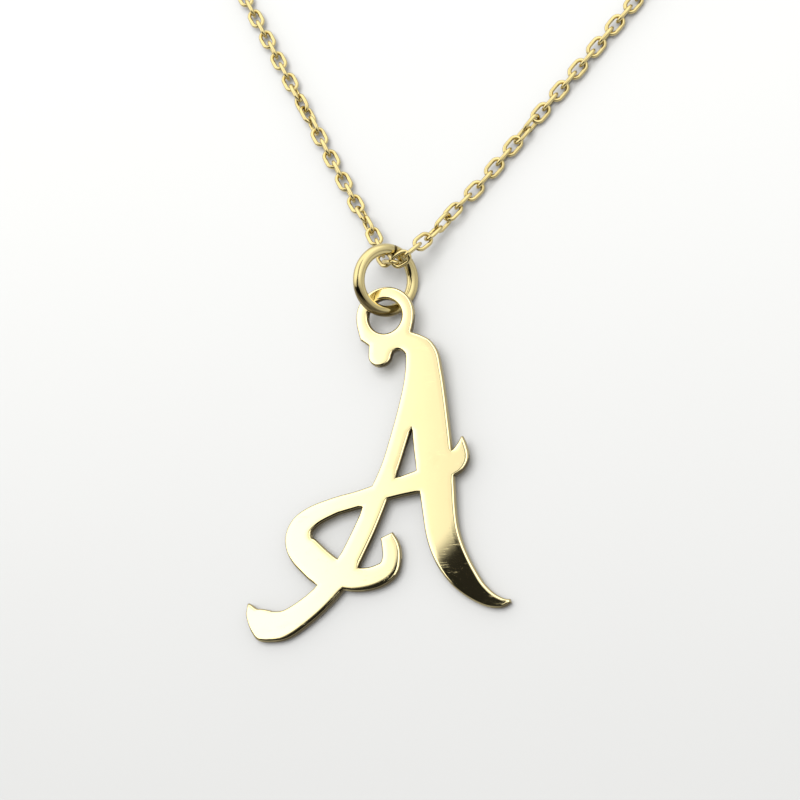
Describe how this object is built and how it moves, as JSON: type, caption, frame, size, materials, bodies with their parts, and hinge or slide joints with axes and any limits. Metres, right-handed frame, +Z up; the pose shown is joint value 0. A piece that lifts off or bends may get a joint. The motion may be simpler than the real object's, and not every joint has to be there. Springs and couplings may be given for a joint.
{
  "type": "initial pendant necklace",
  "caption": "Flat gold script capital with a hanging eye, worn from a split jump ring on a fine chain, laid flat in a teardrop.",
  "frame": {"origin": "on the table, under the middle of the whole laid-out necklace", "axes": "+X to the right of the letter as it reads, +Y from the letter's feet to the back of the chain, +Z up off the table"},
  "size_m": [0.1274, 0.2015, 0.0043],
  "materials": {
    "letter_gold": "mirror polished",
    "ring_gold": "polished",
    "chain_gold": "polished",
    "clasp_gold": "polished"
  },
  "bodies": {
    "root": {"letter_a": "letter_gold", "jump_ring": "ring_gold", "chain": "chain_gold", "clasp": "clasp_gold"}
  },
  "joints": []
}
